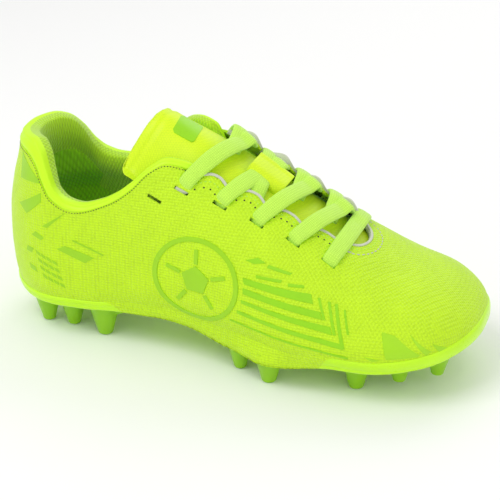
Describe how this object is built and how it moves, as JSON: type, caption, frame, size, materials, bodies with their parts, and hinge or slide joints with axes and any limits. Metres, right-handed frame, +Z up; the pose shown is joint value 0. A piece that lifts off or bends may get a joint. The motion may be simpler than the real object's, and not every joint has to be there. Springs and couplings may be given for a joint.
{
  "type": "soccer cleat",
  "caption": "Low-cut junior soccer cleat for the right foot: laced synthetic upper with padded mesh collar on a moulded plate with conical studs.",
  "frame": {"origin": "on the ground under the middle of the shoe: the centre of the bounding box, at the height of the stud tips", "axes": "+X from heel to toe, +Y towards the inner (medial) side, +Z up"},
  "size_m": [0.2118, 0.0848, 0.1059],
  "materials": {
    "sole": "moulded TPU, satin gloss",
    "stud": "moulded TPU, darker shot",
    "upper": "textured synthetic",
    "backing": "raw cut laminate",
    "stiffener": "thermoformed sheet",
    "foam": "open-cell padding",
    "lining": "spacer mesh",
    "tongue": "smooth synthetic",
    "lace": "flat woven",
    "board": "non-woven board",
    "insole_cover": "knitted top cloth"
  },
  "bodies": {
    "shoe": {"outsole_plate": "sole", "heel_studs": "stud", "forefoot_studs": "stud", "vamp": "upper", "lateral_quarter": "upper", "medial_quarter": "upper", "heel_backstay": "upper", "eyestay_backing": "backing", "heel_counter": "stiffener", "toe_puff": "stiffener", "collar_foam": "foam", "collar_binding": "lining", "collar_lining": "lining", "vamp_lining": "lining", "shoelace": "lace", "lasting_board": "board"},
    "tongue": {"tongue_face": "tongue", "tongue_foam": "foam", "tongue_lining": "lining", "tongue_lace_keeper": "tongue"},
    "sockliner": {"sockliner_foam": "foam", "sockliner_cover": "insole_cover"}
  },
  "joints": [
    {"name": "tongue_flex", "type": "hinge", "parent": "shoe", "child": "tongue", "pos_m": [0.0606, 0.00096, 0.0475], "axis": [0, -1, 0], "range_deg": [0, 8], "stiffness_Nm_per_rad": 0.4, "springref_deg": -3.44},
    {"name": "sockliner_lift", "type": "hinge", "parent": "shoe", "child": "sockliner", "pos_m": [0.0991, 0.00496, 0.024], "axis": [0, 1, 0], "range_deg": [0, 5]}
  ]
}
